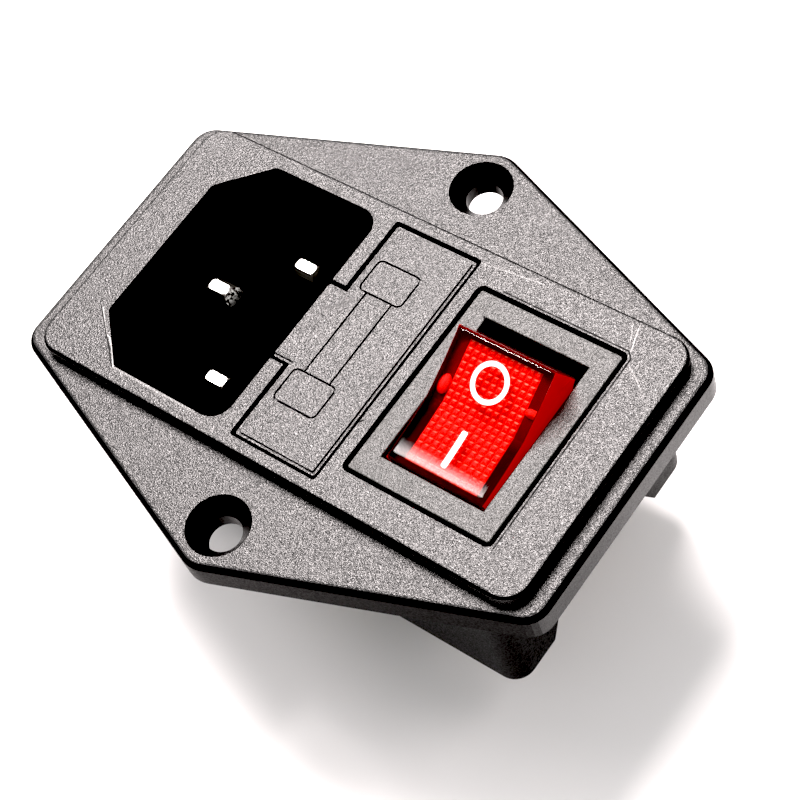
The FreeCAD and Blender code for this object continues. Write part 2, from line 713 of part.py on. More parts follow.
mx0, mx1 = num(-2.98), num(1.94)
marks = [ring("mark_a", mx0, mx1, num(4.93), num(8.62)),
         ring("mark_b", mx0, mx1, num(-8.05), num(-4.31)),
         box("mark_l1", num(-2.0), line_w - 2.0, num(-4.31) - line_w / 2,
             num(4.93) + line_w / 2, front - line_d, front + 0.2),
         box("mark_l2", num(0.87), line_w + 0.87, num(-4.31) - line_w / 2,
             num(4.93) + line_w / 2, front - line_d, front + 0.2)]
part(take("DrawerMarked", db, *marks), "fuse_drawer")

# --------------------------------------------------------------- switch case
sb = doc.addObject("PartDesign::Body", "SwitchBody")
s = sketch(sb, "bezel_outline", "XY_Plane",
           rect(sw_x - bez_hx, sw_x + bez_hx, -bez_hy, bez_hy), bez_top)
f = pad(sb, "bezel_pad", s, bez_top - seat_z - 0.02, down=True)
f = soften(sb, "bezel_corners", f, upright, bez_r)
f = soften(sb, "bezel_rim", f,
           lambda b: near(b.ZMin, bez_top.v) and near(b.ZMax, bez_top.v), num(0.15))
s = sketch(sb, "case_outline", "XY_Plane",
           rect(sw_x - case_hx, sw_x + case_hx, -case_hy, case_hy), seat_z + 0.1)
f = pad(sb, "case_pad", s, seat_z + 0.1 - case_z, down=True)
for k, sg in (("a", 1), ("b", -1)):
    s = sketch(sb, "wing_" + k, "YZ_Plane",
               [((case_hy - 0.1) * sg, wing_z1), (wing_y * sg, wing_z1),
                ((wing_y - 0.1) * sg, wing_z1 - 1.0), ((case_hy + 0.1) * sg, wing_z0),
                ((case_hy - 0.1) * sg, wing_z0)], sw_x)
    f = pad(sb, "wing_pad_" + k, s, wing_hx * 2, mid=True)
s = sketch(sb, "rocker_room", "XY_Plane",
           rect(sw_x - open_hx, sw_x + open_hx, -open_hy, open_hy), bez_top)
f = pocket(sb, "rocker_room_cut", s, bez_top - case_z - case_fl)
f = soften(sb, "rocker_room_edges", f,
           lambda b: near(b.ZMin, bez_top.v) and near(b.ZMax, bez_top.v)
           and max(abs(b.XMin - sw_x.v), abs(b.XMax - sw_x.v)) < open_hx.v + 0.1
           and max(-b.YMin, b.YMax) < open_hy.v + 0.1, edge_r)
s = circle(sb, "pivot_hole", "YZ_Plane", num(0), piv_z, piv_r + piv_c, sw_x)
f = pocket(sb, "pivot_hole_cut", s, (case_hx - 0.2) * 2, mid=True)
for k, yy in (("c", num(0)), ("l", num(6.2)), ("p", num(-6.2))):
    s = sketch(sb, "term_slot_" + k, "XY_Plane",
               rect(sw_x - tab_w / 2 - slip, sw_x + tab_w / 2 + slip,
                    yy - tab_t / 2 - slip, yy + tab_t / 2 + slip), case_z - 0.2)
    f = pocket(sb, "term_slot_cut_" + k, s, case_fl + 0.4, up=True)
part(sb, "switch_body")

# ---------------------------------------------------------- switch terminals
ct = tab("CentreTab", sw_x, num(0), lev_z - bead_r - 0.07, sw_tip)
part(ct, "centre_terminal")
shelf_top = fix_top - fix_h
lt = join("LoadTermJoin", tab("LoadTab", sw_x, num(6.2), shelf_top, sw_tip),
          box("LoadShelf", sw_x - tab_w / 2, sw_x + tab_w / 2, num(3.9), num(6.2) + tab_t / 2,
              shelf_top - 0.5, shelf_top))
part(lt, "load_terminal")
part(cyl("FixedContact", "z", sw_x, con_y, shelf_top, con_r + 0.1, fix_h), "fixed_contact")
part(tab("LampTab", sw_x, num(-6.2), num(-7.4), sw_tip), "lamp_terminal")


# -------------------------------------------------- contact lever and rivets
def settle(o, z, tilt):
    """Set a piece drawn level about its own pivot into the assembly."""
    o.Placement = Placement(Vector(sw_x.v, 0, num(z).v), Rotation(Vector(1, 0, 0), num(tilt).v))
    bind(o, "Placement.Base.x", sw_x)
    bind(o, "Placement.Base.z", z)
    o.setExpression("Placement.Rotation.Angle", "%s * 1 deg" % num(tilt).e)
    return o


lb = doc.addObject("PartDesign::Body", "LeverBody")
s = sketch(lb, "lever_side", "YZ_Plane",
           [(num(0), num(0)), (lev_y, lev_rise), (lev_y, lev_rise + lev_t),
            (num(0), lev_t), (-lev_y, lev_rise + lev_t), (-lev_y, lev_rise)])
f = pad(lb, "lever_pad", s, lev_hx * 2, mid=True)
arm_deg = math.degrees(math.atan(lev_rise.v / lev_y.v))
arm_k = lev_rise / lev_y
eye = cyl("lever_eye", "z", num(0), con_y, num(-1.0), con_shank + 0.01, num(4.0))
bead = cyl("lever_bead", "x", -lev_hx, num(0), num(0), bead_r, lev_hx * 2)
lever = take("LeverCut", join("LeverJoin", lb, bead), eye)
part(settle(lever, lev_z, lev_tilt), "contact_lever")
con_z = arm_k * con_y
head = take("ContactHead",
            cyl("contact_head", "z", num(0), con_y, con_z - con_h, con_r, con_h + 0.4), lb)
shank = cyl("contact_shank", "z", num(0), con_y, con_z - con_h + 0.1, con_shank,
            con_h + lev_t)
under = box("contact_keep", num(-2), num(2), con_y - 2, con_y + 2, con_z - 2.0, con_z + 0.16)
low = doc.addObject("Part::MultiCommon", "ContactLow")
low.Shapes = [head, under]
mc = join("MovingContact", low, shank)
part(settle(mc, lev_z, lev_tilt), "moving_contact")

# -------------------------------------------------------------------- rocker
rb = doc.addObject("PartDesign::Body", "RockerBody")
s = sketch(rb, "rocker_side", "YZ_Plane",
           [(rk_yb, rk_zb), (rk_y, rk_zt), (num(0), rk_zm), (-rk_y, rk_zt),
            (-rk_yb, rk_zb), (num(-3.0), num(-1.8)), (num(3.0), num(-1.8))])
f = pad(rb, "rocker_pad", s, rk_hx * 2, mid=True)
f = soften(rb, "rocker_ends", f,
           lambda b: near(b.ZMin, rk_zt.v) and near(b.ZMax, rk_zt.v), rk_bev, "Chamfer")
f = soften(rb, "rocker_long_edges", f,
           lambda b: b.XLength < 0.01 and b.YLength > 4 and b.ZMin > 4.0, rk_bev, "Chamfer")
s = sketch(rb, "rocker_inside", "YZ_Plane",
           [(rk_yb - rk_wall, rk_zb - 0.2), (rk_y - rk_wall + 0.2, rk_zt - rk_wall - 0.1),
            (num(0), rk_zm - rk_wall), (-rk_y + rk_wall - 0.2, rk_zt - rk_wall - 0.1),
            (-rk_yb + rk_wall, rk_zb - 0.2), (-rk_yb + rk_wall, num(-2.5)),
            (rk_yb - rk_wall, num(-2.5))])
f = pocket(rb, "rocker_inside_cut", s, (rk_hx - rk_wall) * 2, mid=True)
s = circle(rb, "hub_circle", "XY_Plane", num(0), num(0), hub_r, hub_z)
f = pad(rb, "hub_pad", s, rk_zm - rk_wall - hub_z + 0.2)
s = circle(rb, "bore_circle", "XY_Plane", num(0), num(0), bore_r, hub_z)
f = pocket(rb, "bore_cut", s, bore_z - hub_z, up=True)
for k, sg in (("a", 1), ("b", -1)):
    s = circle(rb, "trunnion_" + k, "YZ_Plane", num(0), num(0), piv_r,
               (rk_hx - 0.3) * sg)
    f = pad(rb, "trunnion_pad_" + k, s, num(1.3), down=(sg < 0))
part(settle(rb, piv_z, rk_tilt), "rocker_cap")

plg = join("PlungerJoin",
           cyl("plunger_stem", "z", num(0), num(0), plg_tip + plg_nose + 0.6, plg_r,
               plg_top - plg_tip - plg_nose - 0.6),
           cyl("plunger_neck", "z", num(0), num(0), plg_tip + plg_nose, plg_nose, num(0.8)),
           ball("plunger_nose", num(0), num(0), plg_tip + plg_nose, plg_nose))
part(settle(plg, piv_z, rk_tilt), "switch_plunger")

spr_z0 = plg_top + spr_wire + 0.02
spr_z1 = bore_z - spr_wire - 0.02
hx = doc.addObject("Part::Helix", "spring_path")
bind(hx, "Radius", spr_r)
bind(hx, "Height", spr_z1 - spr_z0)
bind(hx, "Pitch", (spr_z1 - spr_z0) / 5)
bind(hx, "Placement.Base.z", spr_z0)
ci = doc.addObject("Part::Circle", "spring_wire")
ci.Placement = Placement(Vector(0, 0, 0), Rotation(Vector(1, 0, 0), 90))
bind(ci, "Radius", spr_wire)
bind(ci, "Placement.Base.x", spr_r)
bind(ci, "Placement.Base.z", spr_z0)
sw = doc.addObject("Part::Sweep", "SpringSweep")
sw.Sections = [ci]
doc.recompute()
sw.Spine = (hx, ["Edge%d" % (i + 1) for i in range(len(hx.Shape.Edges))])
sw.Solid = True
sw.Frenet = True
part(settle(sw, piv_z, rk_tilt), "plunger_spring")

# ---------------------------------------------------------------------- lamp
bulb = take("BulbCut",
            cyl("bulb_o", "x", -lamp_hl, -lamp_y, lamp_z, lamp_r, lamp_hl * 2),
            cyl("bulb_i", "x", -lamp_hl + 0.4, -lamp_y, lamp_z, lamp_r - 0.35, lamp_hl * 2 - 0.8))
part(settle(bulb, piv_z, rk_tilt), "neon_bulb")
rods = group("Electrodes",
             cyl("rod_a", "x", -lamp_hl + 0.42, -lamp_y - 0.5, lamp_z, num(0.3), lamp_hl * 1.6),
             cyl("rod_b", "x", lamp_hl * 0.4 - 0.42 - lamp_hl, -lamp_y + 0.5, lamp_z, num(0.3),
                 lamp_hl * 1.6))
part(settle(rods, piv_z, rk_tilt), "neon_electrodes")
res = group("Resistor", cyl("resistor_rod", "x", -res_hl, lamp_y, lamp_z, res_r, res_hl * 2))
part(settle(res, piv_z, rk_tilt), "lamp_resistor")
r = lead_r
link = join("LeadLink",
            cyl("lk1", "x", lamp_hl, -lamp_y, lamp_z, r, lead_x - lamp_hl),
            ball("lk2", lead_x, -lamp_y, lamp_z, r),
            cyl("lk3", "y", lead_x, -lamp_y, lamp_z, r, lamp_y * 2),
            ball("lk4", lead_x, lamp_y, lamp_z, r),
            cyl("lk5", "x", res_hl, lamp_y, lamp_z, r, lead_x - res_hl))
tail_z = num(-0.5)
tails = []
for k, y, x1 in (("a", -lamp_y, lamp_hl), ("b", lamp_y, res_hl)):
    tails.append(join("LeadTail_" + k,
                      cyl("lt1" + k, "x", -lead_x, y, lamp_z, r, lead_x - x1),
                      ball("lt2" + k, -lead_x, y, lamp_z, r),
                      cyl("lt3" + k, "z", -lead_x, y, tail_z, r, lamp_z - tail_z)))
part(settle(group("LeadGroup", link, *tails), piv_z, rk_tilt), "lamp_leads")

# ----------------------------------------------------------- recompute, write
doc.recompute()
bad = [o.Name for o in doc.Objects if "Invalid" in o.State or "Error" in o.State]
if bad:
    raise RuntimeError("objects in error: " + ", ".join(bad))
os.makedirs("parts", exist_ok=True)
for label, o in PARTS:
    shape = o.Shape
    if shape.isNull() or not shape.isValid() or shape.Volume <= 0:
        raise RuntimeError("bad shape: " + label)
    shape.exportStep("parts/%s.step" % label)
    b = shape.BoundBox
    print("%-16s solids %d volume %9.3f  x %.2f %.2f  y %.2f %.2f  z %.2f %.2f" % (
        label, len(shape.Solids), shape.Volume, b.XMin, b.XMax, b.YMin, b.YMax,
        b.ZMin, b.ZMax))
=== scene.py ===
import bpy
import bmesh
import math
from mathutils import Matrix, Vector


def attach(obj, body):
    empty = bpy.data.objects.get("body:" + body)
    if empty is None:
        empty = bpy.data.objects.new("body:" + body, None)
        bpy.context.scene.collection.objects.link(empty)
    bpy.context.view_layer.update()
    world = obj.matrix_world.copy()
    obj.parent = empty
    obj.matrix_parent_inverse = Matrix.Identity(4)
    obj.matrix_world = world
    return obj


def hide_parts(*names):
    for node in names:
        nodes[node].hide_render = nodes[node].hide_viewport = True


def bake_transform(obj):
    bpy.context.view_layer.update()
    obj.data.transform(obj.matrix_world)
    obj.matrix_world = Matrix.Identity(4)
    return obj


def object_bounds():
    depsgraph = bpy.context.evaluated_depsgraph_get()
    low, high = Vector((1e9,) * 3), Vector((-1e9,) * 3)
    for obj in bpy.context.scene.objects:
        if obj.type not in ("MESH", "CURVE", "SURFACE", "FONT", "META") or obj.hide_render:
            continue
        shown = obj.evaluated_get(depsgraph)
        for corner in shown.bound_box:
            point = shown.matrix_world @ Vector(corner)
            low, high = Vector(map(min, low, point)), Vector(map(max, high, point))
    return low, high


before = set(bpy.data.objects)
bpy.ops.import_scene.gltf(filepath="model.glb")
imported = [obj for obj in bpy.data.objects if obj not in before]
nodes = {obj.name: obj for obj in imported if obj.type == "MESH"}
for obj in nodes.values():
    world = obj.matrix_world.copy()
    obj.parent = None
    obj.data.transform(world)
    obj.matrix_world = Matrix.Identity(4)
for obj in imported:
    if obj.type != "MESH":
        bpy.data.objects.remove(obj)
cad_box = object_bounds()
scene = bpy.context.scene
MM = 0.001


# --------------------------------------------------------------------- camera
def make_camera():
    cam = bpy.data.cameras.new("camera")
    cam.sensor_fit = "HORIZONTAL"
    cam.sensor_width = 36.0
    cam.lens = 95.796
    cam.clip_start = 0.005
    cam.clip_end = 20.0
    obj = bpy.data.objects.new("camera", cam)
    scene.collection.objects.link(obj)
    right = Vector((0.785, 0.577, -0.2254)).normalized()
    back = Vector((0.4671, -0.3122, 0.8273)).normalized()
    up = back.cross(right).normalized()
    right = up.cross(back).normalized()
    m = Matrix((right, up, back)).transposed().to_4x4()
    m.translation = Vector((93.310, -59.954, 156.331)) * MM
    obj.matrix_world = m
    scene.camera = obj


make_camera()


# ---------------------------------------------------------------- node helpers
class Tree:
    def __init__(self, name):
        self.mat = bpy.data.materials.new(name)
        self.mat.use_nodes = True
        self.nt = self.mat.node_tree
        self.nt.nodes.clear()
        self.out = self.nt.nodes.new("ShaderNodeOutputMaterial")

    def add(self, kind, **props):
        n = self.nt.nodes.new("ShaderNode" + kind)
        for k, v in props.items():
            setattr(n, k, v)
        return n

    def link(self, a, b):
        self.nt.links.new(a, b)

    def coords(self):
        return self.add("TexCoord").outputs["Object"]

    def noise(self, vec, scale, detail=2.0, rough=0.5, dist=0.0):
        n = self.add("TexNoise")
        n.inputs["Scale"].default_value = scale
        n.inputs["Detail"].default_value = detail
        n.inputs["Roughness"].default_value = rough
        n.inputs["Distortion"].default_value = dist
        self.link(vec, n.inputs["Vector"])
        return n.outputs["Fac"]

    def ramp(self, fac, stops):
        n = self.add("ValToRGB")
        e = n.color_ramp.elements
        while len(e) < len(stops):
            e.new(0.5)
        for el, (p, c) in zip(e, stops):
            el.position = p
            el.color = c if len(c) == 4 else (*c, 1.0)
        self.link(fac, n.inputs["Fac"])
        return n.outputs["Color"]

    def math(self, op, a, b=None, clamp=False):
        n = self.add("Math", operation=op, use_clamp=clamp)
        for i, v in enumerate((a, b)):
            if v is None:
                continue
            if isinstance(v, (int, float)):
                n.inputs[i].default_value = v
            else:
                self.link(v, n.inputs[i])
        return n.outputs[0]

    def remap(self, v, a, b, c, d):
        n = self.add("MapRange")
        for k, x in (("From Min", a), ("From Max", b), ("To Min", c), ("To Max", d)):
            n.inputs[k].default_value = x
        self.link(v, n.inputs["Value"])
        return n.outputs["Result"]

    def bump(self, height, strength, distance, normal=None):
        n = self.add("Bump")
        n.inputs["Strength"].default_value = strength
        n.inputs["Distance"].default_value = distance
        self.link(height, n.inputs["Height"])
        if normal is not None:
            self.link(normal, n.inputs["Normal"])
        return n.outputs["Normal"]

    def vmath(self, op, a, b=None):
        n = self.add("VectorMath", operation=op)
        for i, v in enumerate((a, b)):
            if v is None:
                continue
            if isinstance(v, tuple):
                n.inputs[i].default_value = v
            else:
                self.link(v, n.inputs[i])
        return n.outputs["Value"] if op in ("DOT_PRODUCT", "LENGTH") else n.outputs["Vector"]

    def scaled(self, v, k):
        n = self.add("VectorMath", operation="SCALE")
        self.link(v, n.inputs[0])
        self.link(k, n.inputs["Scale"])
        return n.outputs["Vector"]

    def axis(self, v, i):
        n = self.add("SeparateXYZ")
        self.link(v, n.inputs[0])
        return n.outputs[i]

    def line(self, co, a, b, half, soft):
        """One within half a width of the segment from a to b, in millimetres on the XY plane."""
        a = Vector((a[0] * MM, a[1] * MM, 0.0))
        b = Vector((b[0] * MM, b[1] * MM, 0.0))
        d = b - a
        flat = self.vmath("MULTIPLY", co, (1.0, 1.0, 0.0))
        q = self.vmath("SUBTRACT", flat, tuple(a))
        k = self.vmath("DOT_PRODUCT", q, tuple(d / d.length_squared))
        k = self.math("ADD", k, 0.0, clamp=True)
        off = self.vmath("SUBTRACT", q, self.scaled_const(d, k))
        return self.remap(self.vmath("LENGTH", off), half * MM, (half + soft) * MM, 1.0, 0.0)

    def scaled_const(self, d, k):
        n = self.add("VectorMath", operation="SCALE")
        n.inputs[0].default_value = tuple(d)
        self.link(k, n.inputs["Scale"])
        return n.outputs["Vector"]

    def path(self, co, pts, half, soft):
        m = None
        for a, b in zip(pts, pts[1:]):
            s = self.line(co, a, b, half, soft)
            m = s if m is None else self.math("MAXIMUM", m, s)
        return m

    def mix(self, k, a, b):
        n = self.add("Mix", data_type="RGBA")
        self.link(k, n.inputs["Factor"])
        for s, v in ((n.inputs[6], a), (n.inputs[7], b)):
            if isinstance(v, tuple):
                s.default_value = v
            else:
                self.link(v, s)
        return n.outputs[2]

    def blend(self, k, a, b):
        """a where k is nought, b where it is one, for plain numbers."""
        return self.math("ADD", self.math("MULTIPLY", a, self.math("SUBTRACT", 1.0, k)),
                         self.math("MULTIPLY", k, b))

    def principled(self, **values):
        n = self.add("BsdfPrincipled")
        for k, v in values.items():
            s = n.inputs[k.replace("_", " ")]
            if isinstance(v, bpy.types.NodeSocket):
                self.link(v, s)
            else:
                s.default_value = v
        return n

    def finish(self, shader):
        self.link(shader, self.out.inputs["Surface"])
        return self.mat


def grey(v):
    return (v, v, v, 1.0)


# ------------------------------------------------------------------- materials
def black_plastic(name, base, rough, grain, depth, spec, tint=(1.0, 1.0, 1.0), wear=None):
    """Black moulding: spark-eroded grain on the faces that look forward, smooth sides."""
    t = Tree(name)
    co = t.coords()
    fine = t.noise(co, 1.0 / (grain * MM), 1.0, 0.5)
    pits = t.noise(co, 1.0 / (grain * 2.1 * MM), 1.0, 0.5)
    cloud = t.noise(co, 1.0 / (9.0 * MM), 3.0, 0.5)
    mix = t.math("ADD", t.math("MULTIPLY", fine, 0.7), t.math("MULTIPLY", pits, 0.3))
    height = t.remap(mix, 0.25, 0.75, 0.0, 1.0)
    up = t.math("ABSOLUTE", t.axis(t.add("TexCoord").outputs["Normal"], 2))
    level = t.remap(up, 0.80, 0.985, 0.12, 1.0)
    b = t.add("Bump")
    b.inputs["Distance"].default_value = depth * MM
    t.link(level, b.inputs["Strength"])
    t.link(height, b.inputs["Height"])
    lo = tuple(base * 0.35 * c for c in tint)
    hi = tuple(base * 2.3 * c for c in tint)
    col = t.ramp(t.math("ADD", t.math("MULTIPLY", mix, 0.8), t.math("MULTIPLY", cloud, 0.2)),
                 [(0.36, lo), (0.64, hi)])
    r = t.math("ADD", t.remap(cloud, 0.3, 0.7, rough - 0.025, rough + 0.025),
               t.remap(mix, 0.35, 0.65, 0.12, -0.06))
    if wear is not None:
        col, r = wear(t, co, col, r)
    p = t.principled(Base_Color=col, Roughness=r, Normal=b.outputs["Normal"], IOR=1.5,
                     Specular_IOR_Level=spec)
    return t.finish(p.outputs[0])


def broken(t, co, size, lo=0.25):
    return t.remap(t.noise(co, 1.0 / (size * MM), 2.0), 0.36, 0.56, lo, 1.0)


def front_only(t, co, z):
    return t.math("GREATER_THAN", t.axis(co, 2), z * MM)


def housing_wear_and_painted_edges(t, co, col, r):
    """Scratches by the switch and a faint long one above it; by the inlet, moulding flash with a painted
    highlight, a painted highlight along its lower edge and a painted shade line along its chamfer; a nick
    painted as near-black shade; a painted shade line round the switch seat.
    """
    top = front_only(t, co, 4.36)
    white = t.path(co, [(21.85, 13.47), (22.05, 12.61), (22.44, 11.42), (22.64, 10.32)], 0.03, 0.05)
    pale = t.math("MAXIMUM", t.path(co, [(21.17, 13.38), (22.07, 11.57)], 0.02, 0.06),
                  t.path(co, [(22.91, 9.85), (23.86, 9.24), (24.83, 8.56), (25.52, 7.98)],
                         0.03, 0.06))
    pale = t.math("MULTIPLY", pale, 0.55)
    faint = t.math("MULTIPLY", t.path(co, [(5.61, 12.47), (8.9, 12.86), (12.1, 13.18)], 0.02, 0.06),
                   0.5)
    # A light line along the inlet's chamfer: moulding flash, with a painted highlight.
    edge = t.path(co, [(-23.42, -8.0), (-22.07, -9.3), (-21.1, -10.16), (-20.7, -10.2),
                       (-19.84, -10.9), (-18.9, -11.8), (-18.3, -12.5)], 0.05, 0.05)
    # A light line along the inlet's lower edge: painted highlight.
    rim = t.math("MULTIPLY", t.path(co, [(-18.2, -12.58), (-8.4, -12.58)], 0.06, 0.14), 0.28)
    edge = t.math("MAXIMUM", t.math("MULTIPLY", edge, 0.9), rim)
    k = t.math("MAXIMUM", t.math("MAXIMUM", t.math("MULTIPLY", white, 0.95), pale), faint)
    k = t.math("MULTIPLY", k, broken(t, co, 0.4, 0.45))
    k = t.math("MULTIPLY", t.math("MAXIMUM", k, edge), top)
    col = t.mix(k, col, (0.4, 0.395, 0.39, 1.0))
    r = t.blend(k, r, 0.3)
    # A near-black line beside the chamfer's light line: painted shade.
    dark = t.path(co, [(-23.62, -7.99), (-22.17, -9.26), (-21.13, -10.17), (-20.1, -11.02),
                       (-19.12, -11.92), (-18.42, -12.58)], 0.035, 0.05)
    # A short nick, its hollow painted as near-black shade.
    dark = t.math("MAXIMUM", dark, t.path(co, [(5.66, -6.14), (5.84, -5.86)], 0.05, 0.06))
    # A broken near-black line round the switch seat: painted shade of the seat's lip.
    lip_shade = t.path(co, [(9.2, 10.88), (22.4, 10.88), (22.97, 10.3), (22.97, -10.4)], 0.05, 0.05)
    lip_shade = t.math("MULTIPLY", lip_shade, broken(t, co, 0.6, 0.5))
    dark = t.math("MULTIPLY", t.math("MAXIMUM", dark, lip_shade), top)
    return t.mix(dark, col, (0.004, 0.004, 0.004, 1.0)), t.blend(dark, r, 1.0)


def drawer_wear(t, co, col, r):
    """A grey rub on the pull tab."""
    top = front_only(t, co, 4.36)
    rub = t.math("MULTIPLY", t.path(co, [(-4.1, 1.85), (-3.5, 2.6), (-2.75, 3.6)], 0.1, 0.5), 0.55)
    rub = t.math("MULTIPLY", t.math("MULTIPLY", rub, broken(t, co, 0.5, 0.1)), top)
    return t.mix(rub, col, (0.05, 0.049, 0.048, 1.0)), t.blend(rub, r, 0.7)


def bezel_nick_shade(t, co, col, r):
    """A nick at the corner of the rocker opening, its hollow painted as near-black shade."""
    top = front_only(t, co, 4.30)
    nick_shade = t.math("MAXIMUM", t.path(co, [(9.12, 7.95), (9.45, 7.62)], 0.05, 0.06),
                  t.path(co, [(9.45, 7.62), (9.75, 7.58)], 0.12, 0.06))
    nick_shade = t.math("MULTIPLY", nick_shade, top)
    return t.mix(nick_shade, col, (0.004, 0.004, 0.004, 1.0)), t.blend(nick_shade, r, 1.0)


def metal(name, base, rough, brush=(1.0, 1.0, 12.0), scuff=None):
    t = Tree(name)
    co = t.coords()
    m = t.add("Mapping")
    m.inputs["Scale"].default_value = brush
    t.link(co, m.inputs["Vector"])
    lines = t.noise(m.outputs["Vector"], 2500.0, 3.0, 0.6)
    cloud = t.noise(co, 900.0, 3.0, 0.5)
    col = t.ramp(cloud, [(0.3, tuple(c * 0.86 for c in base)), (0.7, base)])
    r = t.math("ADD", t.remap(lines, 0.3, 0.7, rough - 0.05, rough + 0.08),
               t.remap(cloud, 0.35, 0.7, -0.03, 0.06))
    n = t.bump(lines, 0.25, 0.01 * MM)
    if scuff is not None:
        side = t.remap(t.axis(co, 0), (scuff - 0.5) * MM, (scuff + 0.5) * MM, 0.0, 1.0)
        spot = t.remap(t.noise(co, 1.0 / (0.4 * MM), 3.0, 0.6), 0.44, 0.52, 0.0, 1.0)
        nose = t.remap(t.axis(co, 2), -4.0 * MM, -2.0 * MM, 0.0, 1.0)
        k = t.math("MULTIPLY", t.math("MULTIPLY", side, nose), spot)
        col = t.mix(k, col, (0.02, 0.018, 0.016, 1.0))
        r = t.blend(k, r, 0.8)
    p = t.principled(Base_Color=col, Metallic=1.0, Roughness=r, Normal=n)
    return t.finish(p.outputs[0])


def glass(name, tint):
    t = Tree(name)
    n = t.noise(t.coords(), 400.0, 2.0)
    r = t.remap(n, 0.3, 0.7, 0.015, 0.04)
    p = t.principled(Base_Color=(*tint, 1.0), Roughness=r, IOR=1.5, Transmission_Weight=1.0)
    return t.finish(p.outputs[0])


def plain(name, base, rough, grain=0.25, depth=0.01, glow=0.0):
    t = Tree(name)
    co = t.coords()
    n = t.noise(co, 1.0 / (grain * MM), 3.0, 0.55)
    c = t.noise(co, 350.0, 2.0)
    col = t.ramp(c, [(0.3, tuple(x * 0.88 for x in base)), (0.7, base)])
    r = t.remap(n, 0.3, 0.7, rough - 0.05, rough + 0.05)
    p = t.principled(Base_Color=col, Roughness=r, Normal=t.bump(n, 0.6, depth * MM),
                     Emission_Color=(*base, 1.0), Emission_Strength=glow)
    return t.finish(p.outputs[0])


def red_core(name, a, b, rough, glow, coat=0.35):
    t = Tree(name)
    co = t.coords()
    c = t.noise(co, 260.0, 2.0)
    f = t.noise(co, 5200.0, 2.0)
    col = t.ramp(c, [(0.3, a), (0.7, b)])
    r = t.remap(f, 0.3, 0.7, rough - 0.06, rough + 0.06)
    p = t.principled(Base_Color=col, Roughness=r, Specular_IOR_Level=0.12, Coat_Weight=coat, Coat_IOR=2.2,
                     Coat_Roughness=0.12, Emission_Color=(*b, 1.0), Emission_Strength=glow)
    return t.finish(p.outputs[0])


def red_shaded(name, axis, lo, hi, a, b, rough, glow):
    """Red that goes from a to b along one axis, between lo and hi millimetres: painted shade along that
    axis, with a painted glow in the same red.
    """
    t = Tree(name)
    co = t.coords()
    n = t.noise(co, 700.0, 2.0)
    k = t.math("ADD", t.remap(t.axis(co, axis), lo * MM, hi * MM, 0.0, 1.0),
               t.remap(n, 0.3, 0.7, -0.06, 0.06), clamp=True)
    col = t.ramp(k, [(0.0, a), (1.0, b)])
    r = t.remap(n, 0.3, 0.7, rough - 0.05, rough + 0.05)
    p = t.principled(Base_Color=col, Roughness=r, Specular_IOR_Level=0.03, Emission_Color=col,
                     Emission_Strength=glow)
    return t.finish(p.outputs[0])


def red_clear(name, tint):
    """Clear red plastic that lets the lamps through."""
    t = Tree(name)
    n = t.noise(t.coords(), 500.0, 2.0)
    r = t.remap(n, 0.3, 0.7, 0.02, 0.05)
    p = t.principled(Base_Color=(*tint, 1.0), Roughness=r, IOR=1.3, Transmission_Weight=1.0)
    tr = t.add("BsdfTransparent")
    tr.inputs["Color"].default_value = (*tint, 1.0)
    lp = t.add("LightPath")
    mx = t.add("MixShader")
    t.link(lp.outputs["Is Shadow Ray"], mx.inputs[0])
    t.link(p.outputs[0], mx.inputs[1])
    t.link(tr.outputs[0], mx.inputs[2])
    return t.finish(mx.outputs[0])


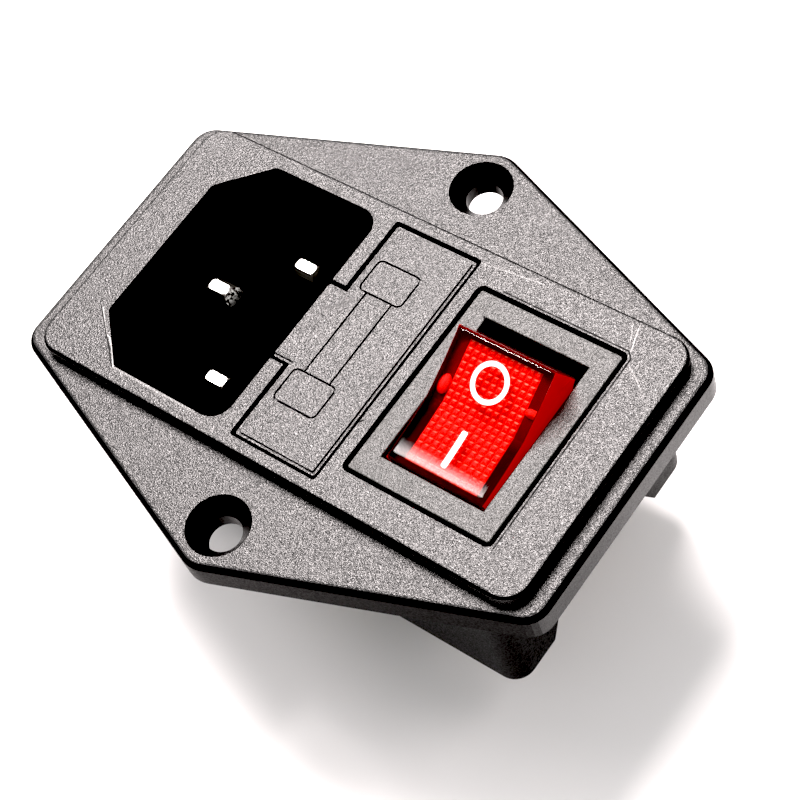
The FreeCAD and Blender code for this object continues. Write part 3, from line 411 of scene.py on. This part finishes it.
M = {
    # Darker, duller copy of the housing plastic for the rear body, mounting-hole walls, rear plate and
    # inside of the switch seat: painted shade.
    "black": black_plastic("rear_and_hole_painted_shade_plastic", 0.005, 0.38, 0.15, 0.02, 0.08),
    "housing": black_plastic("housing_plastic", 0.016, 0.22, 0.125, 0.046, 0.5, wear=housing_wear_and_painted_edges),
    "drawer": black_plastic("drawer_plastic", 0.016, 0.22, 0.125, 0.046, 0.5, wear=drawer_wear),
    "bezel": black_plastic("switch_bezel_plastic", 0.016, 0.23, 0.105, 0.03, 0.34, (1.0, 1.04, 0.97),
                           bezel_nick_shade),
    # Copies of the housing plastic laid on by face direction: near-black on the round-overs and dark on
    # the flange sides (painted shade), stepping through corner and turn copies to a lighter copy on the
    # end faces (painted light).
    "edge": black_plastic("housing_side_painted_shade", 0.003, 0.42, 0.15, 0.04, 0.045),
    "corner": black_plastic("housing_corner_painted_shade", 0.004, 0.4, 0.15, 0.04, 0.062),
    "turn": black_plastic("housing_turn_painted_shade", 0.007, 0.36, 0.15, 0.04, 0.115),
    "end": black_plastic("housing_end_painted_light", 0.012, 0.32, 0.15, 0.04, 0.25),
    "fillet": black_plastic("housing_fillet_painted_shade", 0.003, 0.5, 0.15, 0.03, 0.012),
    "plated": metal("nickel_plate", (0.86, 0.85, 0.82), 0.28),
    # Dark copy of the plating for the blade sides and chamfers: painted shade.
    "plate_shade": metal("nickel_plate_painted_shade", (0.06, 0.058, 0.054), 0.4),
    "scuffed": metal("scuffed_plate", (0.86, 0.85, 0.82), 0.28, scuff=-15.7),
    "brass": metal("stamped_brass", (0.74, 0.55, 0.25), 0.34),
    "silver": metal("silver_contact", (0.9, 0.9, 0.88), 0.25),
    "steel": metal("bright_steel", (0.62, 0.62, 0.63), 0.3),
    "glass": glass("clear_glass", (0.96, 0.98, 0.98)),
    "nylon": plain("natural_nylon", (0.82, 0.8, 0.74), 0.4),
    "ceramic": plain("resistor_lacquer", (0.62, 0.5, 0.32), 0.35),
    # Prism red with a painted glow.
    "red_core": red_core("red_lens_prisms_painted_glow", (0.38, 0.02, 0.018), (0.48, 0.025, 0.021), 0.55, 0.3, 0.0),
    # Paler red for the prism facets facing +Y: painted highlight, with a painted glow.
    "red_lit": red_core("red_lens_facets_painted_highlight", (0.55, 0.13, 0.09), (0.65, 0.18, 0.13), 0.45, 0.3, 0.05),
    # Near-black red for the margins, troughs and inner walls: painted shade, darker towards -Y, with a
    # faint painted glow.
    "red_deep": red_shaded("red_lens_margin_painted_shade", 1, -2.2, 0.6, (0.008, 0.001, 0.001),
                           (0.07, 0.004, 0.005), 0.5, 0.1),
    # Side and end reds: painted glow, darker towards the bottom (painted shade).
    "red_side": red_shaded("red_lens_side_painted_glow_and_shade", 2, 0.5, 4.5, (0.03, 0.001, 0.001), (0.16, 0.004, 0.003),
                           0.5, 2.6),
    "red_end": red_shaded("red_lens_end_painted_glow_and_shade", 2, 0.5, 4.5, (0.03, 0.001, 0.001), (0.06, 0.003, 0.003),
                          0.5, 0.5),
    "red_clear": red_clear("red_lens_clear", (1.0, 0.42, 0.4)),
    # White ink with a painted glow.
    "white_ink_painted_glow": plain("white_ink_painted_glow", (0.92, 0.91, 0.9), 0.4, 0.1, 0.004, 0.3),
}


def paint(node, mat):
    ob = nodes[node]
    ob.data.materials.clear()
    ob.data.materials.append(mat)


for n, m in (("housing", "housing"), ("rear_plate", "black"), ("fuse_drawer", "drawer"),
             ("switch_body", "bezel"), ("line_pin", "plated"), ("neutral_pin", "plated"),
             ("earth_pin", "scuffed"), ("line_fuse_clip", "brass"), ("load_fuse_clip", "brass"),
             ("fuse_tube", "glass"), ("fuse_caps", "plated"), ("fuse_wire", "steel"),
             ("centre_terminal", "brass"), ("load_terminal", "brass"),
             ("lamp_terminal", "brass"), ("fixed_contact", "silver"),
             ("moving_contact", "silver"), ("contact_lever", "brass"),
             ("rocker_cap", "red_core"), ("switch_plunger", "nylon"),
             ("plunger_spring", "steel"), ("neon_bulb", "glass"),
             ("neon_electrodes", "steel"), ("lamp_resistor", "ceramic"),
             ("lamp_leads", "plated")):
    paint(n, M[m])

rear = nodes["housing"].data
rear.materials.append(M["black"])
rear.materials.append(M["edge"])
rear.materials.append(M["fillet"])
rear.materials.append(M["end"])
rear.materials.append(M["corner"])
rear.materials.append(M["turn"])
# Slot 1, the darker rear copy (painted shade), on the rear body and mounting-hole walls; slot 3, the
# near-black copy (painted shade), on round-overs; slot 2, the dark copy (painted shade), on flange sides,
# stepping through slots 5 and 6 to slot 4, a lighter copy (painted light), on the end faces.
for f in rear.polygons:
    back = f.center.z < -0.02 * MM and abs(f.center.x) < 25.6 * MM
    side = abs(f.normal.z) < 0.35 and -0.02 * MM < f.center.z < 2.4 * MM
    hole = abs(f.normal.z) < 0.95 and math.hypot(f.center.x, abs(f.center.y) - 20.0 * MM) < 3.6 * MM
    round_over = 0.1 < f.normal.z < 0.9 and f.center.z > 0.3 * MM
    if side and abs(f.center.x) > 25.6 * MM:
        lean = abs(f.normal.x)
        rim = 2 if lean < 0.45 else 5 if lean < 0.68 else 6 if lean < 0.88 else 4
    else:
        rim = 2 if side else 4 if abs(f.normal.x) > 0.6 and abs(f.center.x) > 25.6 * MM else 0
    f.material_index = 1 if back or hole else 3 if round_over else rim



def make_blade(node, name):
    """A contact blade with the corners of its nose rounded."""
    bm = bmesh.new()
    bm.from_mesh(nodes[node].data)
    bmesh.ops.remove_doubles(bm, verts=bm.verts, dist=1e-7)
    top = max(v.co.z for v in bm.verts)
    flat = [e for e in bm.edges if min(v.co.z for v in e.verts) > top - 1.2 * MM
            and e.is_manifold and e.calc_face_angle() < 0.01]
    bmesh.ops.dissolve_edges(bm, edges=flat, use_verts=False)
    tips = [v for v in bm.verts if v.co.z > top - 0.001 * MM]
    bmesh.ops.bevel(bm, geom=tips, offset=0.36 * MM, offset_type="OFFSET", segments=4,
                    profile=0.5, affect="VERTICES", clamp_overlap=True)
    me = bpy.data.meshes.new(name)
    bm.to_mesh(me)
    bm.free()
    me.materials.append(M["scuffed" if node == "earth_pin" else "plated"])
    me.materials.append(M["plate_shade"])
    # Blade sides and chamfers above -15 mm take the dark plating copy, painted shade; the earth blade's
    # scuffed chamfer keeps the scuffed plating.
    for f in me.polygons:
        worn = node == "earth_pin" and f.normal.x > 0.3 and f.normal.z > 0.3
        f.material_index = 1 if f.normal.z < 0.99 and f.center.z > -15.0 * MM and not worn else 0
    ob = bpy.data.objects.new(name, me)
    scene.collection.objects.link(ob)
    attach(ob, "module")
    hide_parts(node)
    return ob


for n in ("line", "neutral", "earth"):
    make_blade(n + "_pin", n + "_blade")

# The switch seat below 3.9 mm takes the darker rear copy: painted shade inside the recess.
seat = nodes["switch_body"].data
seat.materials.append(M["black"])
for f in seat.polygons:
    f.material_index = 1 if f.center.z < 3.9 * MM else 0


# ---------------------------------------------------------------- rocker pieces
# Drawn level about the pivot in millimetres, then set at its tilt.
RK_A = math.atan2(1.06, 6.42)
RK_SIN, RK_COS = math.sin(RK_A), math.cos(RK_A)
RK_DISH = 0.12
RK_SET = Matrix.Translation((14.79, 0.0, 1.35)) @ Matrix.Rotation(math.radians(17.5), 4, "X")


def dish(e):
    u = min(max(e / 6.2, 0.0), 1.0)
    return 4.0 * RK_DISH * u * (1.0 - u)


def wall_top(y):
    return 3.996 + y * 1.06 / 6.42 - dish(6.124 / 6.4665 * y / RK_COS)


def facet(s, x, e, d):
    """Point d below the flat top of one half, e along it from the middle."""
    return Vector((x, s * (e * RK_COS + d * RK_SIN), 4.3 + e * RK_SIN - d * RK_COS))


def rocker_piece(name, bm, mats, angle=25.0):
    bmesh.ops.recalc_face_normals(bm, faces=bm.faces)
    bm.transform(Matrix.Scale(MM, 4) @ RK_SET)
    me = bpy.data.meshes.new(name)
    bm.to_mesh(me)
    bm.free()
    me.shade_smooth()
    me.set_sharp_from_angle(angle=math.radians(angle))
    for m in mats:
        me.materials.append(m)
    ob = bpy.data.objects.new(name, me)
    scene.collection.objects.link(ob)
    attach(ob, "rocker")
    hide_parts("rocker_cap")
    return ob


class Weld:
    """Vertices of a bmesh found again by their place."""

    def __init__(self, bm):
        self.bm = bm
        self.seen = {}

    def __call__(self, co):
        k = tuple(round(c * 20000) for c in co)
        if k not in self.seen:
            self.seen[k] = self.bm.verts.new(co)
        return self.seen[k]

    def face(self, *cos, mat=0):
        vs = []
        for c in cos:
            v = self(c)
            if v not in vs:
                vs.append(v)
        f = self.bm.faces.new(vs)
        f.material_index = mat
        return f


def make_lens():
    """Clear cap: dished top, bevelled edges, side and end faces."""
    bm = bmesh.new()
    w = Weld(bm)
    n = 14

    def top(sx, s, k):
        y = 6.124 * k / n
        return Vector((sx * 4.8, s * y, 4.3 + y * 1.06 / 6.42 - dish(y / RK_COS)))

    def side(sx, s, k):
        return Vector((sx * 5.1, s * 6.4665 * k / n, wall_top(6.4665 * k / n)))

    def at(sx, s, y, z):
        return Vector((sx * 5.1, s * y, z))

    for s in (1, -1):
        for k in range(n):
            w.face(top(-1, s, k), top(1, s, k), top(1, s, k + 1), top(-1, s, k + 1))
            for sx in (1, -1):
                w.face(top(sx, s, k), top(sx, s, k + 1), side(sx, s, k + 1), side(sx, s, k))
        w.face(top(-1, s, n), top(1, s, n), side(1, s, n), side(-1, s, n))
        w.face(side(-1, s, n), side(1, s, n), at(1, s, 7.12, 0.9), at(-1, s, 7.12, 0.9))
        w.face(at(-1, s, 7.12, 0.9), at(1, s, 7.12, 0.9), at(1, s, 3.0, -1.8), at(-1, s, 3.0, -1.8))
    for sx in (1, -1):
        ring = [side(sx, -1, k) for k in range(n, 0, -1)] + [side(sx, 1, k) for k in range(n + 1)]
        w.face(*ring, at(sx, 1, 7.12, 0.9), at(sx, 1, 3.0, -1.8), at(sx, -1, 3.0, -1.8),
               at(sx, -1, 7.12, 0.9))
    w.face(at(-1, 1, 3.0, -1.8), at(1, 1, 3.0, -1.8), at(1, -1, 3.0, -1.8), at(-1, -1, 3.0, -1.8))
    bmesh.ops.recalc_face_normals(bm, faces=bm.faces)
    rim = [e for e in bm.edges if len(e.link_faces) == 2
           and e.calc_face_angle(0.0) > math.radians(20)
           and min(v.co.z for v in e.verts) > 3.9
           and max(abs(v.co.x) for v in e.verts) > 4.5]
    bmesh.ops.bevel(bm, geom=rim, offset=0.14, offset_type="OFFSET", segments=5, profile=0.5,
                    affect="EDGES")
    return rocker_piece("rocker_lens", bm, [M["red_clear"]], 18.0)


def tube(w, rings, n=40, mat=0):
    """Body of revolution about the level Z axis, closed on itself."""
    def at(r, z, k):
        a = 2 * math.pi * k / n
        return Vector((r * math.cos(a), r * math.sin(a), z))
    for (r0, z0), (r1, z1) in zip(rings, rings[1:]):
        for k in range(n):
            w.face(at(r0, z0, k), at(r0, z0, k + 1), at(r1, z1, k + 1), at(r1, z1, k), mat=mat)


def make_core():
    """Red body inside the clear cap: prism field, troughs, walls, hub and trunnions, in glowing,
    highlighted and shaded reds (painted light and shade).
    """
    bm = bmesh.new()
    w = Weld(bm)
    cols, rows = 11, 9
    hx, wx, ee = 3.77, 4.90, 6.16
    lo, hi = 1.30, 1.13
    e0 = -lo * RK_SIN / RK_COS
    px = 2 * hx / cols
    pe = (5.78 - e0) / rows
    xs = [-hx + i * px for i in range(cols + 1)]
    es = [e0 + j * pe for j in range(rows + 1)]
    drop = Vector((0.0, 0.0, 0.08))
    for s in (1, -1):
        for i in range(cols):
            for j in range(rows):
                xa, xb, ea, eb = xs[i], xs[i + 1], es[j], es[j + 1]
                ta, tb = xa + 0.19, xb - 0.19
                ua, ub = (ea + 0.28, eb - 0.13) if s > 0 else (ea + 0.13, eb - 0.28)
                A = [facet(s, x, e, lo) for x, e in ((xa, ea), (xb, ea), (xb, eb), (xa, eb))]
                B = [facet(s, x, e, hi) for x, e in ((ta, ua), (tb, ua), (tb, ub), (ta, ub))]
                w.face(*B)
                w.face(A[1], A[2], B[2], B[1])
                w.face(A[3], A[0], B[0], B[3])
                for k, e, x0, x1 in ((0, ea, ta, tb), (2, eb, tb, ta)):
                    m = k + 1
                    P0, P1 = facet(s, x0, e, lo), facet(s, x1, e, lo)
                    # The facet of each prism facing +Y takes the paler red: painted highlight.
                    if (k == 2) == (s > 0):
                        w.face(P0, P1, B[m], B[k], mat=1)
                        w.face(A[k], P0, B[k])
                        w.face(P1, A[m], B[m])
                    else:
                        w.face(A[k], P0, P1, A[m], B[m], B[k])

        def quad(x0, x1, a, b):
            w.face(facet(s, x0, a, lo), facet(s, x1, a, lo), facet(s, x1, b, lo),
                   facet(s, x0, b, lo), mat=2)

        for j in range(rows):
            quad(-wx, -hx, es[j], es[j + 1])
            quad(hx, wx, es[j], es[j + 1])
        quad(-wx, -hx, es[-1], ee)
        quad(hx, wx, es[-1], ee)
        for x0, x1 in zip(xs, xs[1:]):
            w.face(*(facet(s, x, es[-1], lo) for x in (x0, x0 + 0.19, x1 - 0.19, x1)),
                   facet(s, x1, ee, lo), facet(s, x0, ee, lo), mat=2)
        rim = ([(-wx, e) for e in es] + [(-wx, ee)] + [(x, ee) for x in xs] + [(wx, ee)]
               + [(wx, e) for e in reversed(es)])
        P = [facet(s, x, e, lo) for x, e in rim]
        Q = [v - drop for v in P]
        for k in range(len(P) - 1):
            w.face(P[k], P[k + 1], Q[k + 1], Q[k], mat=2)
        w.face(*Q, mat=2)
    w = Weld(bm)
    n = 14
    for sx in (1, -1):
        crown = [(-6.34 * k / n) for k in range(n, 0, -1)] + [6.34 * k / n for k in range(n + 1)]
        prof = [(y, wall_top(abs(y)) - 0.07) for y in crown]
        prof += [(6.98, 0.97), (2.95, -1.7), (-2.95, -1.7), (-6.98, 0.97)]
        a = [Vector((sx * 4.92, y, z)) for y, z in prof]
        b = [Vector((sx * 4.99, y, z)) for y, z in prof]
        # Inner wall faces take the near-black red (painted shade), outer faces the side red with its
        # painted glow, darker towards the bottom.
        w.face(*a, mat=2)
        w.face(*b, mat=3)
        for k in range(len(a)):
            m = (k + 1) % len(a)
            w.face(a[k], a[m], b[m], b[k], mat=2)
    for s in (1, -1):
        prof = [(6.24, 4.94), (6.30, 4.94), (6.98, 0.97), (6.92, 0.97)]
        a = [Vector((-4.9, s * y, z)) for y, z in prof]
        b = [Vector((4.9, s * y, z)) for y, z in prof]
        w.face(*a, mat=4)
        # The top strip and inner face of each end wall take the near-black red (painted shade); the rest
        # takes the end red with its painted glow.
        w.face(*b, mat=4)
        for k in range(4):
            m = (k + 1) % 4
            w.face(a[k], a[m], b[m], b[k], mat=2 if k in (0, 3) else 4)
    # Two lumps in the troughs take the prism red with its painted glow.
    for x, e, a, b in ((-4.3, 1.3, 0.6, 0.95), (4.28, 2.3, 0.55, 0.42)):
        place = Matrix.Translation(facet(1, x, e, 1.25)) @ Matrix.Diagonal((a, b, 0.5, 1.0))
        bmesh.ops.create_uvsphere(bm, u_segments=36, v_segments=18, radius=1.0, matrix=place)
    w = Weld(bm)
    tube(w, [(0.0, 2.85), (2.0, 2.85), (2.1, 2.75), (2.1, -3.3), (2.0, -3.4), (1.45, -3.4),
             (1.35, -3.3), (1.35, 2.2), (0.0, 2.2)])
    for sx in (1, -1):
        n = 40
        rings = [(1.2, 5.12), (1.2, 6.0), (1.1, 6.1)]
        ends = []
        for r, x in rings:
            ends.append([Vector((sx * x, r * math.cos(2 * math.pi * k / n),
                                 r * math.sin(2 * math.pi * k / n))) for k in range(n)])
        w.face(*ends[0])
        w.face(*ends[-1])
        for a, b in zip(ends, ends[1:]):
            for k in range(n):
                w.face(a[k], a[(k + 1) % n], b[(k + 1) % n], b[k])
    return rocker_piece("rocker_core", bm, [M[k] for k in ("red_core", "red_lit", "red_deep",
                                                           "red_side", "red_end")], 15.0)


def make_marks():
    """Round and straight marks printed on the two halves, in white ink with a painted glow."""
    bm = bmesh.new()
    w = Weld(bm)

    def on(s, x, e, up):
        return facet(s, x, e, dish(e) - up)

    n = 72
    cx, ce, ax, ae, st = 0.0, 3.15, 1.83, 1.91, 0.46
    ring = []
    for k in range(n):
        a = 2 * math.pi * k / n
        c, si = math.cos(a), math.sin(a)
        ring.append([(cx + ax * c, ce + ae * si), (cx + (ax - st) * c, ce + (ae - st) * si)])
    for k in range(n):
        (oa, ia), (ob, ib) = ring[k], ring[(k + 1) % n]
        w.face(on(1, *oa, 0.025), on(1, *ob, 0.025), on(1, *ib, 0.025), on(1, *ia, 0.025))
        w.face(on(1, *oa, 0.004), on(1, *ob, 0.004), on(1, *ib, 0.004), on(1, *ia, 0.004))
        w.face(on(1, *oa, 0.004), on(1, *ob, 0.004), on(1, *ob, 0.025), on(1, *oa, 0.025))
        w.face(on(1, *ia, 0.004), on(1, *ib, 0.004), on(1, *ib, 0.025), on(1, *ia, 0.025))
    hw, ea, eb, m = 0.285, 1.45, 5.1, 20
    rows = []
    for k in range(m + 1):
        e = ea + (eb - ea) * k / m
        near = min(e - ea, eb - e)
        x = hw if near > 0.09 else hw - 0.07
        rows.append((e, x))
    for (e0, x0), (e1, x1) in zip(rows, rows[1:]):
        for up in (0.004, 0.025):
            w.face(on(-1, 0.1 - x0, e0, up), on(-1, 0.1 + x0, e0, up), on(-1, 0.1 + x1, e1, up),
                   on(-1, 0.1 - x1, e1, up))
        for sx in (1, -1):
            w.face(on(-1, 0.1 + sx * x0, e0, 0.004), on(-1, 0.1 + sx * x1, e1, 0.004),
                   on(-1, 0.1 + sx * x1, e1, 0.025), on(-1, 0.1 + sx * x0, e0, 0.025))
    for e, x in (rows[0], rows[-1]):
        w.face(on(-1, 0.1 - x, e, 0.004), on(-1, 0.1 + x, e, 0.004), on(-1, 0.1 + x, e, 0.025),
               on(-1, 0.1 - x, e, 0.025))
    return rocker_piece("rocker_marks", bm, [M["white_ink_painted_glow"]])


def make_spring():
    """Wire coil between the hub and the plunger, with a closed turn at each end."""
    r, wire, z0, z1, turns, steps, sides = 0.98, 0.13, -1.05, 2.05, 7, 36, 10
    shut = 2.0 * wire + 0.005
    run = (z1 - z0 - 2.0 * shut) / (turns - 2)

    def height(u):
        return z0 + shut * min(u, 1.0) + run * min(max(u - 1.0, 0.0), turns - 2.0) \
            + shut * max(u - turns + 1.0, 0.0)

    bm = bmesh.new()
    rings = []
    for k in range(turns * steps + 1):
        a = 2.0 * math.pi * k / steps
        out = Vector((math.cos(a), math.sin(a), 0.0))
        mid = out * r + Vector((0.0, 0.0, height(k / steps)))
        rings.append([bm.verts.new(mid + (out * math.cos(b) + Vector((0.0, 0.0, math.sin(b)))) * wire)
                      for b in (2.0 * math.pi * i / sides for i in range(sides))])
    for a, b in zip(rings, rings[1:]):
        for i in range(sides):
            j = (i + 1) % sides
            bm.faces.new((a[i], a[j], b[j], b[i]))
    bm.faces.new(rings[0])
    bm.faces.new(rings[-1])
    bmesh.ops.recalc_face_normals(bm, faces=bm.faces)
    bm.transform(Matrix.Scale(MM, 4) @ RK_SET)
    me = bpy.data.meshes.new("plunger_coil")
    bm.to_mesh(me)
    bm.free()
    me.shade_smooth()
    me.set_sharp_from_angle(angle=math.radians(50.0))
    me.materials.append(M["steel"])
    ob = bpy.data.objects.new("plunger_coil", me)
    scene.collection.objects.link(ob)
    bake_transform(ob)
    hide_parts("plunger_spring")
    return ob


make_lens()
make_core()
make_marks()
make_spring()


# ------------------------------------------------------------- floor and light
def make_stage():
    me = bpy.data.meshes.new("floor")
    bm = bmesh.new()
    z = cad_box[0][2] - 0.00005
    bmesh.ops.create_circle(bm, cap_ends=True, segments=96, radius=3.0)
    for v in bm.verts:
        v.co.z = z
    bm.to_mesh(me)
    bm.free()
    ob = bpy.data.objects.new("floor", me)
    scene.collection.objects.link(ob)
    t = Tree("floor_paper")
    n = t.noise(t.coords(), 40.0, 2.0)
    col = t.ramp(n, [(0.3, grey(0.86)), (0.7, grey(0.88))])
    p = t.principled(Base_Color=col, Roughness=0.9, Specular_IOR_Level=0.1,
                     Emission_Strength=0.0)
    me.materials.append(t.finish(p.outputs[0]))
    only = bpy.data.collections.new("floor_only")
    only.objects.link(ob)

    w = bpy.data.worlds.new("world")
    scene.world = w
    w.use_nodes = True
    bg = w.node_tree.nodes["Background"]
    bg.inputs["Color"].default_value = (1.0, 1.0, 1.0, 1.0)
    bg.inputs["Strength"].default_value = 0.6
    return only


def softbox(name, direction, distance, sx, sy, radiance, tint=(1.0, 0.92, 0.91), only=None):
    """Rectangular lamp facing the origin, its Y side towards +Y, fading at its edges."""
    la = bpy.data.lights.new(name, "AREA")
    la.shape = "RECTANGLE"
    la.size = sx
    la.size_y = sy
    la.energy = radiance * sx * sy * math.pi
    la.color = tint
    la.use_nodes = True
    nt = la.node_tree
    lamp = next(n for n in nt.nodes if n.type == "EMISSION")
    place = nt.nodes.new("ShaderNodeNewGeometry")
    split = nt.nodes.new("ShaderNodeSeparateXYZ")
    nt.links.new(place.outputs["Parametric"], split.inputs[0])
    fades = []
    for axis, a, b in ((0, 0.0, 0.14), (0, 1.0, 0.86), (1, 0.0, 0.12), (1, 1.0, 0.8)):
        fade = nt.nodes.new("ShaderNodeMapRange")
        fade.interpolation_type = "SMOOTHSTEP"
        nt.links.new(split.outputs[axis], fade.inputs["Value"])
        fade.inputs["From Min"].default_value = a
        fade.inputs["From Max"].default_value = b
        fades.append(fade.outputs[0])
    while len(fades) > 1:
        both = nt.nodes.new("ShaderNodeMath")
        both.operation = "MULTIPLY"
        nt.links.new(fades.pop(), both.inputs[0])
        nt.links.new(fades.pop(), both.inputs[1])
        fades.append(both.outputs[0])
    nt.links.new(fades[0], lamp.inputs["Strength"])
    ob = bpy.data.objects.new(name, la)
    scene.collection.objects.link(ob)
    z = Vector(direction).normalized()
    y = Vector((0.0, 1.0, 0.0))
    y = (y - z * y.dot(z)).normalized()
    x = y.cross(z).normalized()
    m = Matrix((x, y, z)).transposed().to_4x4()
    m.translation = z * distance
    ob.matrix_world = m
    if only is not None:
        ob.light_linking.receiver_collection = only
    return ob


floor_only = make_stage()
softbox("key", (-0.345, 0.345, 0.87), 0.65, 0.36, 0.33, 46.0)
softbox("floor_left", (-0.62, -0.1, 0.76), 0.65, 0.3, 0.3, 8.5, only=floor_only)
softbox("floor_right", (0.62, 0.52, 0.58), 0.65, 0.45, 0.45, 4.6, only=floor_only)
scene.view_settings.view_transform = "Standard"
scene.view_settings.look = "None"
scene.view_settings.use_curve_mapping = True
scene.view_settings.curve_mapping.black_level = (0.03, 0.03, 0.03)
scene.view_settings.curve_mapping.update()
